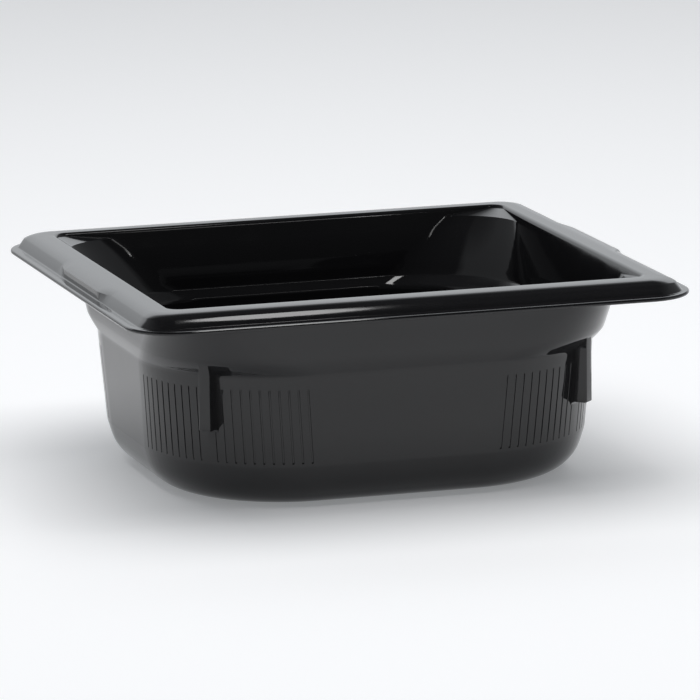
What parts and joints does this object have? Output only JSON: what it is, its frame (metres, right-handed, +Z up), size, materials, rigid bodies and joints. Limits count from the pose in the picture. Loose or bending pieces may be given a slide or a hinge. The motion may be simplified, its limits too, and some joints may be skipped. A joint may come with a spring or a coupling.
{
  "type": "food pan",
  "caption": "Open rectangular deli food pan in glossy black plastic with a flat hanging lip, a stacking shoulder, grooved rounded corners and side tabs on the rim.",
  "frame": {"origin": "centre of the flat base, on its underside", "axes": "+X along the longer side, +Y along the shorter side, +Z up out of the mouth"},
  "size_m": [0.176, 0.162, 0.065],
  "materials": {
    "black_plastic": "moulded near-black plastic, high gloss inside and out"
  },
  "bodies": {
    "root": {"pan_body": "black_plastic"}
  },
  "joints": []
}
